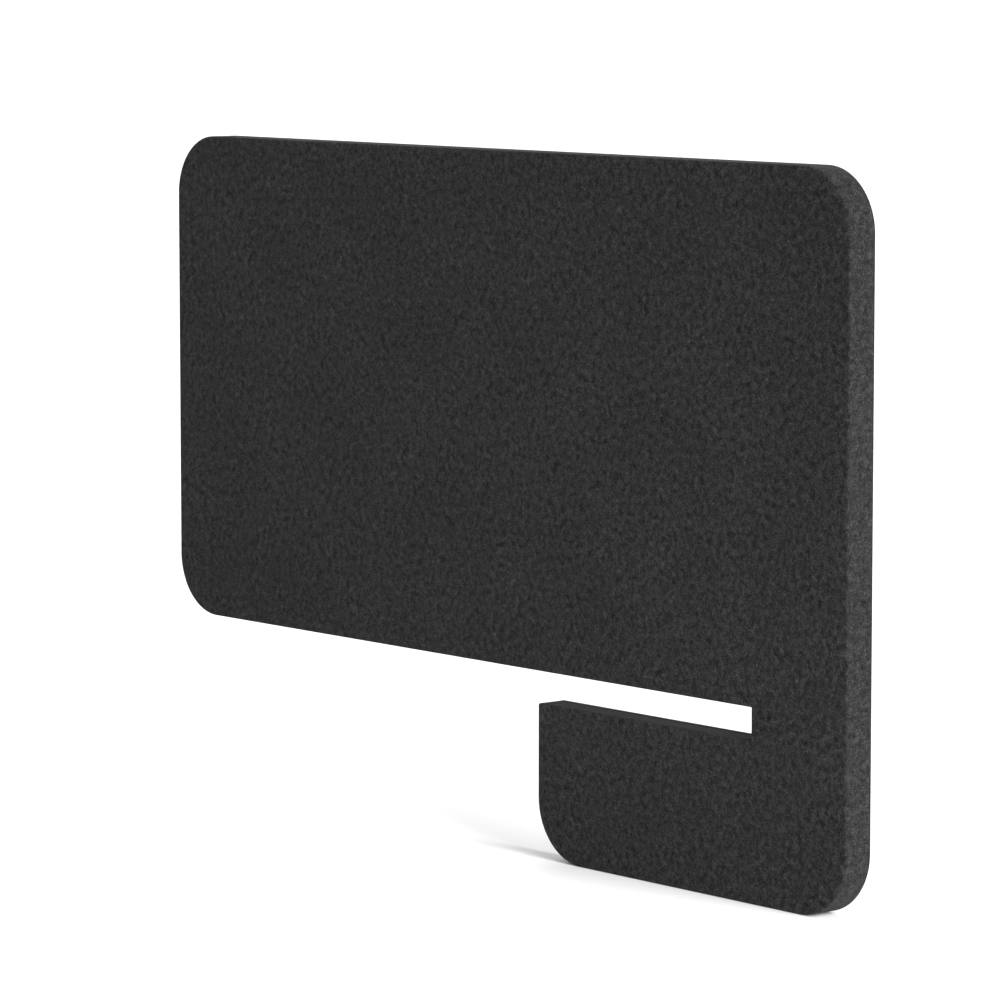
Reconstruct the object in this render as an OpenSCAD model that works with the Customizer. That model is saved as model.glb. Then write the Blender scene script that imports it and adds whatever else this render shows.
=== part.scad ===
// Slide-on desk privacy panel: a felt-covered board with a slot that pushes over a desk top.
//
// X runs along the desk's depth and +X points to the person sitting at it, Y is the
// thickness, and Z is up. The origin is where the slot's roof meets its closed end, at
// the middle of the thickness: the desk top's upper front edge lies there.

/* [Panel] */
// Slot's closed end to the panel's rear edge, over the desk
desk_reach = 798; // [600:1:900]
// Slot's closed end to the panel's front edge
front_overhang = 114; // [100:1:160]
// Desk top's surface to the panel's top edge
height_above = 450; // [300:1:700]
// Clear height of the slot, which is the desk top's thickness
slot_height = 28; // [18:0.5:40]
// Depth of the slot, from the leg's rear edge to its closed end
slot_depth = 273; // [200:1:400]
// Underside of the desk top to the leg's lower edge
leg_drop = 137; // [125:1:220]
// Radius of the five outer corners
corner_radius = 55; // [40:1:58]

/* [Layers] */
// Plywood frame and the absorber inside it
frame_thickness = 18; // [15:0.5:24]
// Polyester felt glued to each side of the frame
backing_thickness = 3.5; // [2.5:0.5:6]
// Wool felt cover
cover_thickness = 2; // [1:0.5:3]

/* [Frame] */
// Width of the rails and stiles, in the panel's plane
rail_width = 40; // [36:1:44]
// Side of the square corner blocks
block_size = 58; // [56:1:60]
// Diameter of the beech dowels
dowel_diameter = 8; // [6:1:8]
// Length of the beech dowels
dowel_length = 40; // [30:1:40]
// Distance between the two dowels of a joint
dowel_pitch = 20; // [16:1:22]

/* [Slot hardware] */
// Steel strip folded round the slot
liner_thickness = 2; // [1.5:0.5:3]
// Width of the rubber strips between the felt's turned-in edges
grip_width = 16; // [10:1:18]
// Shank diameter of the liner's countersunk screws
screw_diameter = 3.5; // [3:0.5:4]
// Overall length of the liner's screws
screw_length = 16; // [12:1:16]

/* [Hidden] */
$fn = 96;

// Outer edges of the panel
rear_x = -desk_reach;
front_x = front_overhang;
top_z = height_above;
leg_rear_x = -slot_depth;
slot_floor_z = -slot_height;
bottom_z = slot_floor_z - leg_drop;

// Edges of the frame, one cover's thickness inside them
frame_rear_x = rear_x + cover_thickness;
frame_front_x = front_x - cover_thickness;
frame_top_z = top_z - cover_thickness;
frame_bottom_z = bottom_z + cover_thickness;
frame_leg_x = leg_rear_x + cover_thickness;

// Faces of the frame that the slot's steel liner lies on
lining = cover_thickness + liner_thickness;
liner_roof_z = lining;
liner_floor_z = slot_floor_z - lining;
liner_end_x = lining;

// Ends of the rails, at the corner blocks
rear_block_x = frame_rear_x + block_size;
front_block_x = frame_front_x - block_size;
leg_block_x = frame_leg_x + block_size;
top_block_z = frame_top_z - block_size;
leg_block_z = frame_bottom_z + block_size;
lower_block_z = cover_thickness + block_size;

// Inner edges of the rails and stiles
rear_bay_x = frame_rear_x + rail_width;
front_bay_x = frame_front_x - rail_width;
leg_bay_x = frame_leg_x + rail_width;
top_bay_z = frame_top_z - rail_width;
upper_bay_z = liner_roof_z + rail_width;
lower_bay_z = liner_floor_z - rail_width;
leg_bay_z = frame_bottom_z + rail_width;
middle_x = (rear_bay_x + front_bay_x) / 2;

backed_thickness = frame_thickness + 2 * backing_thickness;

// Each joint of the frame: [x, z, the way its two dowels run]
ALONG_X = 0;
ALONG_Z = 1;
top_rail_z = frame_top_z - rail_width / 2;
upper_rail_z = liner_roof_z + rail_width / 2;
lower_rail_z = liner_floor_z - rail_width / 2;
leg_rail_z = frame_bottom_z + rail_width / 2;
rear_stile_x = frame_rear_x + rail_width / 2;
front_stile_x = frame_front_x - rail_width / 2;
leg_stile_x = frame_leg_x + rail_width / 2;
end_block_z = slot_floor_z / 2;
end_block_offset = 26; // from the middle of the end block to the middle of each pair
DOWEL_JOINTS = [
    [rear_block_x, top_rail_z, ALONG_X],
    [front_block_x, top_rail_z, ALONG_X],
    [rear_block_x, upper_rail_z, ALONG_X],
    [liner_end_x, upper_rail_z, ALONG_X],
    [liner_end_x, lower_rail_z, ALONG_X],
    [leg_bay_x, lower_rail_z, ALONG_X],
    [leg_block_x, leg_rail_z, ALONG_X],
    [front_block_x, leg_rail_z, ALONG_X],
    [front_bay_x, end_block_z + end_block_offset, ALONG_X],
    [front_bay_x, end_block_z - end_block_offset, ALONG_X],
    [rear_stile_x, top_block_z, ALONG_Z],
    [rear_stile_x, lower_block_z, ALONG_Z],
    [front_stile_x, top_block_z, ALONG_Z],
    [front_stile_x, leg_block_z, ALONG_Z],
    [leg_stile_x, leg_block_z, ALONG_Z],
    [middle_x, top_bay_z, ALONG_Z],
    [middle_x, upper_bay_z, ALONG_Z]
];

// Screws through the liner: five up into the slot's upper rail, three down into its lower
// rail, and one into the block at its closed end
roof_screw_count = 5;
floor_screw_count = 3;
screw_end_margin = 38;
roof_screws = evenly(rear_block_x + screw_end_margin, liner_end_x - screw_end_margin, roof_screw_count);
floor_screws = evenly(leg_bay_x + screw_end_margin, liner_end_x - screw_end_margin, floor_screw_count);
screw_head_diameter = 2 * screw_diameter;
screw_tip_length = 4;
screw_tip_diameter = 0.4;

felt_colour = [0.19, 0.19, 0.19];
backing_colour = [0.45, 0.46, 0.48];
infill_colour = [0.86, 0.86, 0.83];
ply_colour = [0.80, 0.66, 0.45];
beech_colour = [0.76, 0.55, 0.36];
steel_colour = [0.66, 0.68, 0.70];
rubber_colour = [0.07, 0.07, 0.07];

// Evenly spaced places from one end to the other
function evenly(from, to, count) = [for (i = [0:count - 1]) from + (to - from) * i / (count - 1)];

// ---------------------------------------------------------------- plane shapes

module box_2d(x0, z0, x1, z1) {
    translate([x0, z0]) square([x1 - x0, z1 - z0]);
}

// Rectangle whose corners [rear lower, front lower, front upper, rear upper] are
// rounded where their flag is true
module rounded_rect(x0, z0, x1, z1, r, rounded) {
    centres = [[x0 + r, z0 + r], [x1 - r, z0 + r], [x1 - r, z1 - r], [x0 + r, z1 - r]];
    corners = [[x0, z0], [x1 - r, z0], [x1 - r, z1 - r], [x0, z1 - r]];
    translate([x0 + r, z0]) square([x1 - x0 - 2 * r, z1 - z0]);
    translate([x0, z0 + r]) square([x1 - x0, z1 - z0 - 2 * r]);
    for (i = [0:3])
        if (rounded[i]) translate(centres[i]) circle(r);
        else translate(corners[i]) square(r);
}

// The panel's outline, moved in by inset all round: the screen above the desk, the leg
// below it, and the neck that joins them in front of the slot
module panel_outline(inset) {
    r = corner_radius - inset;
    rounded_rect(rear_x + inset, inset, front_x - inset, top_z - inset, r,
                 [true, false, true, true]);
    rounded_rect(leg_rear_x + inset, bottom_z + inset, front_x - inset, slot_floor_z - inset, r,
                 [true, true, false, false]);
    translate([inset, slot_floor_z - inset - r])
        square([front_overhang - 2 * inset, slot_height + 2 * (inset + r)]);
}

// The outline of what lies inside the edge band, cut back for the liner
module lined_outline() {
    difference() {
        panel_outline(cover_thickness);
        box_2d(rear_block_x, liner_floor_z, liner_end_x, liner_roof_z);
    }
}

// The slot's roof, floor and closed end, from depth a to depth b behind their surfaces
module roof_wall(a, b) { box_2d(rear_block_x, a, b, b); }

module floor_wall(a, b) { box_2d(frame_leg_x, slot_floor_z - b, b, slot_floor_z - a); }

module end_wall(a, b) { box_2d(a, slot_floor_z - a, b, a); }

module slot_wall(a, b) {
    roof_wall(a, b);
    end_wall(a, b);
    floor_wall(a, b);
}

// ---------------------------------------------------------------- solids

// Stands a plane shape up in the X-Z plane, centred on the panel's thickness
module upright(thickness) {
    rotate([90, 0, 0]) linear_extrude(height = thickness, center = true) children();
}

// The same, as a layer that starts at y and faces the given side, -1 or 1
module layer(y, thickness, side) {
    translate([0, side * (y + thickness / 2), 0]) upright(thickness) children();
}

module screw(length) {
    head_height = (screw_head_diameter - screw_diameter) / 2;
    cylinder(d1 = screw_head_diameter, d2 = screw_diameter, h = head_height, $fn = 48);
    translate([0, 0, head_height])
        cylinder(d = screw_diameter, h = length - head_height - screw_tip_length, $fn = 48);
    translate([0, 0, length - screw_tip_length])
        cylinder(d1 = screw_diameter, d2 = screw_tip_diameter, h = screw_tip_length, $fn = 48);
}

module all_screws() {
    for (x = roof_screws)
        translate([x, 0, cover_thickness]) screw(screw_length);
    for (x = floor_screws)
        translate([x, 0, slot_floor_z - cover_thickness]) rotate([180, 0, 0]) screw(screw_length);
    translate([cover_thickness, 0, end_block_z]) rotate([0, 90, 0]) screw(screw_length);
}

module all_dowels() {
    for (joint = DOWEL_JOINTS, side = [-1, 1]) {
        along_x = joint[2] == ALONG_X;
        x = joint[0] + (along_x ? 0 : side * dowel_pitch / 2);
        z = joint[1] + (along_x ? side * dowel_pitch / 2 : 0);
        translate([x, 0, z]) rotate([0, along_x ? 90 : 0, 0])
            cylinder(d = dowel_diameter, h = dowel_length, center = true, $fn = 48);
    }
}

// A plywood piece of the frame, bored for its dowels and screws
module frame_piece() {
    color(ply_colour) difference() {
        upright(frame_thickness) children();
        all_dowels();
        all_screws();
    }
}

// A square block at one corner of the frame, cut to the outline's curve
module corner_block(x0, z0) {
    frame_piece() intersection() {
        translate([x0, z0]) square(block_size);
        panel_outline(cover_thickness);
    }
}

// Wadding that fills a bay, with its corners cut for the corner blocks
module infill(x0, z0, x1, z1) {
    color(infill_colour) upright(frame_thickness) difference() {
        box_2d(x0, z0, x1, z1);
        box_2d(frame_rear_x, top_block_z, rear_block_x, frame_top_z);
        box_2d(front_block_x, top_block_z, frame_front_x, frame_top_z);
        box_2d(frame_rear_x, cover_thickness, rear_block_x, lower_block_z);
        box_2d(frame_leg_x, frame_bottom_z, leg_block_x, leg_block_z);
        box_2d(front_block_x, frame_bottom_z, frame_front_x, leg_block_z);
    }
}

// ---------------------------------------------------------------- frame

module top_rail() { frame_piece() box_2d(rear_block_x, top_bay_z, front_block_x, frame_top_z); }

module rear_stile() { frame_piece() box_2d(frame_rear_x, lower_block_z, rear_bay_x, top_block_z); }

module front_stile() { frame_piece() box_2d(front_bay_x, leg_block_z, frame_front_x, top_block_z); }

module middle_stile() {
    frame_piece()
        box_2d(middle_x - rail_width / 2, upper_bay_z, middle_x + rail_width / 2, top_bay_z);
}

module slot_upper_rail() {
    frame_piece() box_2d(rear_block_x, liner_roof_z, liner_end_x, upper_bay_z);
}

module slot_lower_rail() {
    frame_piece() box_2d(leg_bay_x, lower_bay_z, liner_end_x, liner_floor_z);
}

module leg_rear_stile() { frame_piece() box_2d(frame_leg_x, leg_block_z, leg_bay_x, liner_floor_z); }

module leg_bottom_rail() {
    frame_piece() box_2d(leg_block_x, frame_bottom_z, front_block_x, leg_bay_z);
}

module slot_end_block() { frame_piece() box_2d(liner_end_x, lower_bay_z, front_bay_x, upper_bay_z); }

module top_rear_block() { corner_block(frame_rear_x, top_block_z); }

module top_front_block() { corner_block(front_block_x, top_block_z); }

module lower_rear_block() { corner_block(frame_rear_x, cover_thickness); }

module leg_rear_block() { corner_block(frame_leg_x, frame_bottom_z); }

module leg_front_block() { corner_block(front_block_x, frame_bottom_z); }

module frame_dowels() { color(beech_colour) all_dowels(); }

// ---------------------------------------------------------------- absorber

module rear_infill() { infill(rear_bay_x, upper_bay_z, middle_x - rail_width / 2, top_bay_z); }

module front_infill() { infill(middle_x + rail_width / 2, upper_bay_z, front_bay_x, top_bay_z); }

module leg_infill() { infill(leg_bay_x, leg_bay_z, front_bay_x, lower_bay_z); }

module outer_backing() {
    color(backing_colour) layer(frame_thickness / 2, backing_thickness, -1) lined_outline();
}

module inner_backing() {
    color(backing_colour) layer(frame_thickness / 2, backing_thickness, 1) lined_outline();
}

// ---------------------------------------------------------------- cover

module outer_cover() {
    color(felt_colour) layer(backed_thickness / 2, cover_thickness, -1) panel_outline(0);
}

module inner_cover() {
    color(felt_colour) layer(backed_thickness / 2, cover_thickness, 1) panel_outline(0);
}

// The strip between the two cover faces, all round but for the slot
module edge_band() {
    color(felt_colour) upright(backed_thickness) difference() {
        panel_outline(0);
        panel_outline(cover_thickness);
        slot_wall(0, cover_thickness);
    }
}

// The felt turned into the slot from each side, which leaves a channel for the rubber
module slot_strip() {
    color(felt_colour) difference() {
        upright(backed_thickness) children();
        upright(grip_width) slot_wall(0, cover_thickness);
    }
}

module slot_roof_band() { slot_strip() roof_wall(0, cover_thickness); }

module slot_end_band() { slot_strip() end_wall(0, cover_thickness); }

module slot_floor_band() { slot_strip() floor_wall(0, cover_thickness); }

// ---------------------------------------------------------------- slot hardware

// A rubber strip in the channel, cut off square where it meets the next one's face
module rubber(x0, z0, x1, z1) { color(rubber_colour) upright(grip_width) box_2d(x0, z0, x1, z1); }

module slot_liner() {
    color(steel_colour) difference() {
        upright(backed_thickness) slot_wall(cover_thickness, lining);
        all_screws();
    }
}

module liner_screws() { color(steel_colour) all_screws(); }

module upper_grip() { rubber(rear_block_x, 0, 0, cover_thickness); }

module lower_grip() { rubber(frame_leg_x, slot_floor_z - cover_thickness, 0, slot_floor_z); }

module end_bumper() { rubber(0, slot_floor_z, cover_thickness, 0); }

// ---------------------------------------------------------------- nodes

top_rail();
rear_stile();
front_stile();
middle_stile();
slot_upper_rail();
slot_lower_rail();
leg_rear_stile();
leg_bottom_rail();
slot_end_block();
top_rear_block();
top_front_block();
lower_rear_block();
leg_rear_block();
leg_front_block();
frame_dowels();
rear_infill();
front_infill();
leg_infill();
slot_liner();
liner_screws();
outer_backing();
inner_backing();
outer_cover();
inner_cover();
edge_band();
slot_roof_band();
slot_end_band();
slot_floor_band();
upper_grip();
lower_grip();
end_bumper();
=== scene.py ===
import math

import bmesh
import bpy
import numpy as np
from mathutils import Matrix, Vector
from mathutils.geometry import delaunay_2d_cdt
from mathutils.kdtree import KDTree


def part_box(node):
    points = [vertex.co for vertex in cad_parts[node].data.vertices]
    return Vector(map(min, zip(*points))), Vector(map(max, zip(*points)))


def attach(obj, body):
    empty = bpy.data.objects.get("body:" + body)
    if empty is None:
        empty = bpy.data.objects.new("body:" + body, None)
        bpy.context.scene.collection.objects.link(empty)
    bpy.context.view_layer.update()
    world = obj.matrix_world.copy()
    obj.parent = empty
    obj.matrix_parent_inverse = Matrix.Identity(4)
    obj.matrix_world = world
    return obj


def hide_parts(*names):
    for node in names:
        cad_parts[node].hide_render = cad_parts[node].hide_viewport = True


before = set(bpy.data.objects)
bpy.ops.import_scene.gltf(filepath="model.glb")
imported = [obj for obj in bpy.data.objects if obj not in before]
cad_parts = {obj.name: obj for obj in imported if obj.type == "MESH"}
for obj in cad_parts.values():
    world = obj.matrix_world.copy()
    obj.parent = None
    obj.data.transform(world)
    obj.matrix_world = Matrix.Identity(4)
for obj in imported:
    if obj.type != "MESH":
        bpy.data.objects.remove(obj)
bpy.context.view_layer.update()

# A desk privacy panel: the felt, wadding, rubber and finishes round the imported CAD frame.
# Shapes are worked out in millimetres and turned into metres when a mesh is made.
MM = 0.001

# ---------------------------------------------------------------- camera, in metres

CAMERA_PLACE = (3.0139, -2.7919, 0.6289)
CAMERA_AIM = (-0.342, 0.0, 0.1425)
LENS = 180.0  # mm
SENSOR_WIDTH = 36.0  # mm

camera = bpy.data.objects.new("camera", bpy.data.cameras.new("camera"))
camera.data.lens = LENS
camera.data.sensor_width = SENSOR_WIDTH
camera.location = CAMERA_PLACE
camera.rotation_euler = (Vector(CAMERA_AIM) - camera.location).to_track_quat("-Z", "Y").to_euler()
bpy.context.scene.collection.objects.link(camera)
bpy.context.scene.camera = camera

# ---------------------------------------------------------------- sizes, in mm


def node_box(name):
    """The lowest and highest x, y and z of a CAD node, in mm."""
    low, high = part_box(name)
    return np.array(low) / MM, np.array(high) / MM


(REAR_X, _, BOTTOM_Z), (FRONT_X, COVER_FACE_Y, TOP_Z) = node_box("inner_cover")
COVER_BACK_Y = node_box("inner_cover")[0][1]
FELT = COVER_FACE_Y - COVER_BACK_Y
(SLOT_END_X, _, SLOT_FLOOR_Z), (_, _, SLOT_ROOF_Z) = node_box("end_bumper")
LEG_REAR_X = node_box("slot_floor_band")[0][0] - FELT
BAND_START_X = node_box("slot_roof_band")[0][0]
CORNER_RADIUS = 55.0  # the five rounded outer corners
SHARP_RADIUS = 2.3  # the leg's corner at the slot's mouth, where the felt folds over
INNER_RADIUS = 0.8  # the two corners at the slot's closed end

# ---------------------------------------------------------------- shapes


def turned(way, angle):
    """A plane direction turned anticlockwise."""
    c, s = math.cos(angle), math.sin(angle)
    return np.array([c * way[0] - s * way[1], s * way[0] + c * way[1]])


def rounded_loop(corners, radii, step, arc_step=3.0):
    """Points and outward normals round a closed loop of square corners, listed anticlockwise,
    each turned on its own radius."""
    points, normals = [], []
    count = len(corners)
    for i in range(count):
        before, here, after = (np.array(corners[(i + k) % count], float) for k in (-1, 0, 1))
        way_in = (here - before) / np.linalg.norm(here - before)
        way_out = (after - here) / np.linalg.norm(after - here)
        side = 1 if way_in[0] * way_out[1] > way_in[1] * way_out[0] else -1
        radius = radii[i]
        outward = turned(way_in, -math.pi / 2)
        centre = here - way_in * radius - side * radius * outward
        steps = max(4, math.ceil(radius * math.pi / 2 / arc_step))
        for k in range(steps + 1):
            normal = turned(outward, side * math.pi / 2 * k / steps)
            points.append(centre + side * radius * normal)
            normals.append(normal)
        start = here + way_out * radius
        end = after - way_out * radii[(i + 1) % count]
        steps = max(1, round(np.linalg.norm(end - start) / step))
        for k in range(1, steps):
            points.append(start + (end - start) * k / steps)
            normals.append(turned(way_out, -math.pi / 2))
    return np.array(points), np.array(normals)


def panel_loop(inset, step=4.0):
    """The panel's outline, moved in by inset all round."""
    corners = [
        (SLOT_END_X, SLOT_ROOF_Z), (SLOT_END_X, SLOT_FLOOR_Z),
        (LEG_REAR_X, SLOT_FLOOR_Z), (LEG_REAR_X, BOTTOM_Z),
        (FRONT_X, BOTTOM_Z), (FRONT_X, TOP_Z), (REAR_X, TOP_Z), (REAR_X, SLOT_ROOF_Z),
    ]
    radii = [INNER_RADIUS] * 2 + [SHARP_RADIUS] + [CORNER_RADIUS] * 5
    points, normals = rounded_loop(corners, radii, step)
    return points - inset * normals, normals


def inside(points, loop):
    """Which of the points lie inside a closed loop."""
    result = np.zeros(len(points), bool)
    x, y = points[:, 0], points[:, 1]
    for (x0, y0), (x1, y1) in zip(loop, np.roll(loop, -1, axis=0)):
        if y0 == y1:
            continue
        crosses = (y0 > y) != (y1 > y)
        result ^= crosses & (x < x0 + (y - y0) * (x1 - x0) / (y1 - y0))
    return result


def distance_to(points, loop):
    """Each point's distance from the nearest point of a loop."""
    tree = KDTree(len(loop))
    for i, p in enumerate(loop):
        tree.insert((p[0], p[1], 0), i)
    tree.balance()
    return np.array([tree.find((p[0], p[1], 0))[2] for p in points])


def ripple(u, v, wavelength, seed, waves=14):
    """Smooth random relief from -1 to 1 or so, made of plane waves in all directions."""
    draw = np.random.default_rng(seed)
    total = np.zeros(np.shape(u))
    for _ in range(waves):
        angle = draw.uniform(0, 2 * math.pi)
        number = 2 * math.pi / (wavelength * draw.uniform(0.7, 1.5))
        phase = draw.uniform(0, 2 * math.pi)
        total += np.sin(number * (u * math.cos(angle) + v * math.sin(angle)) + phase)
    return total / math.sqrt(waves)


def fill(ring, extra=()):
    """Triangles that fill a ring, using the extra points in it. Returns index triples, where
    the extra points follow the ring's."""
    points = [Vector(p) for p in ring] + [Vector(p) for p in extra]
    only_inside, tolerance = 1, 1e-7
    found = delaunay_2d_cdt(points, [], [list(range(len(ring)))], only_inside, tolerance)
    source = [origin[0] for origin in found[3]]
    return [[source[i] for i in face] for face in found[2]]


def build(name, vertices, faces, attributes, material, flat_faces=()):
    """A mesh object with outward normals. vertices are in mm, attributes are {name: array}."""
    mesh = bpy.data.meshes.new(name)
    mesh.from_pydata((np.array(vertices) * MM).tolist(), [], faces)
    for key, values in attributes.items():
        kind = "FLOAT_VECTOR" if np.ndim(values) == 2 else "FLOAT"
        field = "vector" if kind == "FLOAT_VECTOR" else "value"
        layer = mesh.attributes.new(key, kind, "POINT")
        layer.data.foreach_set(field, np.asarray(values, np.float32).ravel())
    work = bmesh.new()
    work.from_mesh(mesh)
    bmesh.ops.recalc_face_normals(work, faces=work.faces)
    for face in work.faces:
        face.smooth = True
    work.faces.ensure_lookup_table()
    for i in flat_faces:
        work.faces[i].smooth = False
        for edge in work.faces[i].edges:
            edge.smooth = False
    work.to_mesh(mesh)
    work.free()
    mesh.materials.append(material)
    piece = bpy.data.objects.new(name, mesh)
    bpy.context.scene.collection.objects.link(piece)
    return piece


EDGE_FADE = 7.0  # how far from the edge relief reaches its full height and wear ends
BACK_STEPS, FACE_STEPS = 2, 6  # faces round the back's arris and the face's arris
EDGE_CLEAR = 0.6  # least distance of the relief's points from the edge, in grid steps


def plate(points, normals, thickness, face_round, back_round, grid, relief, place):
    """A closed plate of felt over a loop: a rounded edge, a face with relief and a flat back.
    Returns vertices, faces and the attributes that its material reads. place turns plane
    coordinates and a height above the back into a point."""
    profile = []
    for k in range(BACK_STEPS + 1):
        a = math.pi / 2 * k / BACK_STEPS
        profile.append((back_round * (1 - math.sin(a)), back_round * (1 - math.cos(a))))
    for k in range(FACE_STEPS + 1):
        a = math.pi / 2 * k / FACE_STEPS
        inset = face_round * (1 - math.cos(a))
        profile.append((inset, thickness - face_round + face_round * math.sin(a)))
    count = len(points)
    plane, height, lie = [], [], []
    runs = [0.0]  # from the face's edge down the profile
    for (i0, h0), (i1, h1) in zip(profile[::-1], profile[-2::-1]):
        runs.append(runs[-1] + math.hypot(i1 - i0, h1 - h0))
    face_ring = points - profile[-1][0] * normals
    for (inset, h), unrolled in zip(profile, reversed(runs)):
        plane.append(points - inset * normals)
        height.append(np.full(count, h))
        lie.append(face_ring + unrolled * normals)
    faces = []
    for k in range(len(profile) - 1):
        for i in range(count):
            j = (i + 1) % count
            low, high = k * count, (k + 1) * count
            faces.append([low + i, low + j, high + j, high + i])
    first = (len(profile) - 1) * count
    low_corner, high_corner = face_ring.min(0), face_ring.max(0)
    row_step = grid * math.sqrt(3) / 2
    u, v = np.meshgrid(np.arange(low_corner[0], high_corner[0], grid),
                       np.arange(low_corner[1] + row_step / 2, high_corner[1], row_step))
    u[1::2] += grid / 2
    spots = np.column_stack([u.ravel(), v.ravel()])
    spots = spots[inside(spots, face_ring)]
    away = distance_to(spots, face_ring)
    clear = away > EDGE_CLEAR * grid
    spots, away = spots[clear], away[clear]
    ramp = np.clip(away / EDGE_FADE, 0, 1)
    ramp = ramp * ramp * (3 - 2 * ramp)
    plane.append(spots)
    height.append(thickness + ramp * relief(spots[:, 0], spots[:, 1]))
    lie.append(spots)
    total = len(profile) * count
    for triangle in fill(face_ring, spots):
        faces.append([first + i if i < count else total + i - count for i in triangle])
    back = fill(plane[0])
    back_faces = range(len(faces), len(faces) + len(back))
    faces.extend(triangle[::-1] for triangle in back)
    plane, height, lie = np.vstack(plane), np.concatenate(height), np.vstack(lie)
    wear = np.concatenate([np.ones(total), (1 - ramp) ** 3])
    depth = thickness - height
    spread = np.column_stack([lie, depth]) * MM
    return place(plane, height), faces, {"lie": spread, "wear": wear}, list(back_faces)


def joined(parts):
    """Several shapes as one, with their faces renumbered."""
    vertices, faces, back, attributes = [], [], [], {}
    for part_vertices, part_faces, part_attributes, part_back in parts:
        offset = sum(len(v) for v in vertices)
        back.extend(len(faces) + i for i in part_back)
        faces.extend([offset + i for i in face] for face in part_faces)
        vertices.append(part_vertices)
        for key, values in part_attributes.items():
            attributes.setdefault(key, []).append(values)
    merged = {k: np.concatenate(v) for k, v in attributes.items()}
    return np.vstack(vertices), faces, merged, back


def stand(piece, node):
    """The piece rides on the one body and stands for a CAD node, which it hides."""
    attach(piece, "root")
    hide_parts(node)
    return piece


# ---------------------------------------------------------------- materials


class Look:
    """A Principled material, with short ways to add nodes to it."""

    def __init__(self, name, **sockets):
        self.material = bpy.data.materials.new(name)
        self.material.use_nodes = True
        self.tree = self.material.node_tree
        self.shader = self.tree.nodes["Principled BSDF"]
        for socket, value in sockets.items():
            self.shader.inputs[socket.replace("_", " ")].default_value = value

    def node(self, kind, inputs, **settings):
        made = self.tree.nodes.new("ShaderNode" + kind)
        for key, value in settings.items():
            setattr(made, key, value)
        for key, value in inputs.items():
            if isinstance(value, bpy.types.NodeSocket):
                self.tree.links.new(value, made.inputs[key])
            else:
                made.inputs[key].default_value = value
        return made

    def attribute(self, name, output):
        return self.node("Attribute", {}, attribute_name=name).outputs[output]

    def place_in_mm(self, vector):
        return self.node("VectorMath", {0: vector, "Scale": 1 / MM}, operation="SCALE").outputs[0]

    def shifted(self, vector, amount, size, dimensions="2D"):
        """The vector moved about smoothly by up to amount, over distances of about size."""
        askew = self.stretched(vector, (size, size, size), 0.8)
        noise = self.node("TexNoise", {"Vector": askew, "Scale": 1.0, "Detail": 1.0},
                          noise_dimensions=dimensions).outputs["Color"]
        middle = self.node("VectorMath", {0: noise, 1: (0.5, 0.5, 0.5)}, operation="SUBTRACT")
        scaled = self.node("VectorMath", {0: middle.outputs[0], "Scale": 2 * amount},
                           operation="SCALE")
        return self.node("VectorMath", {0: vector, 1: scaled.outputs[0]}).outputs[0]

    def noise(self, vector, size, detail=2.0, roughness=0.5, dimensions="3D"):
        return self.node("TexNoise", {"Vector": vector, "Scale": 1 / size, "Detail": detail,
                                      "Roughness": roughness},
                         noise_dimensions=dimensions).outputs["Fac"]

    def stretched(self, vector, scale, angle=0.0, offset=(0.0, 0.0, 0.0)):
        """The vector turned by an angle, then measured in units of scale."""
        return self.node("Mapping", {"Vector": vector, "Location": offset,
                                     "Rotation": (0.0, 0.0, angle), "Scale": scale},
                         vector_type="TEXTURE").outputs[0]

    def step(self, value, low, high, start=0.0, end=1.0):
        """A smooth step of the value, from start below low to end above high."""
        return self.node("MapRange", {"Value": value, "From Min": low, "From Max": high,
                                      "To Min": start, "To Max": end},
                         interpolation_type="SMOOTHSTEP").outputs["Result"]

    def math(self, operation, a, b=0.0, c=0.0):
        return self.node("Math", {0: a, 1: b, 2: c}, operation=operation).outputs[0]

    def mix(self, factor, a, b, blend="MIX"):
        made = self.node("Mix", {0: factor, 6: a, 7: b}, data_type="RGBA", blend_type=blend)
        return made.outputs[2]

    def finish(self, colour, roughness, height, depth, strength=1.0):
        """Links the colour, the roughness and a bump of that depth in metres."""
        bump = self.node("Bump", {"Height": height, "Distance": depth, "Strength": strength})
        for socket, value in (("Base Color", colour), ("Roughness", roughness),
                              ("Normal", bump.outputs[0])):
            self.tree.links.new(value, self.shader.inputs[socket])
        return self.material


def grey(value, warmth=0.0):
    """A near-grey linear colour, warmer above 0 and cooler below it."""
    return (value * (1 + warmth), value, value * (1 - warmth), 1.0)


def strands(look, where, length, width, ways, low, high, seed):
    """Where fibres of that length and width lie, in several directions, from 0 to 1."""
    draw = np.random.default_rng(seed)
    total = None
    for i in range(ways):
        angle = math.pi * (i + draw.uniform(0.1, 0.9)) / ways
        offset = (draw.uniform(-500, 500), draw.uniform(-500, 500), 0.0)
        along = look.stretched(where, (length, width, 1.0), angle, offset)
        strand = look.step(look.noise(along, 1.0, 1.0, dimensions="2D"), low, high)
        total = strand if total is None else look.math("MAXIMUM", total, strand)
    return total


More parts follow.
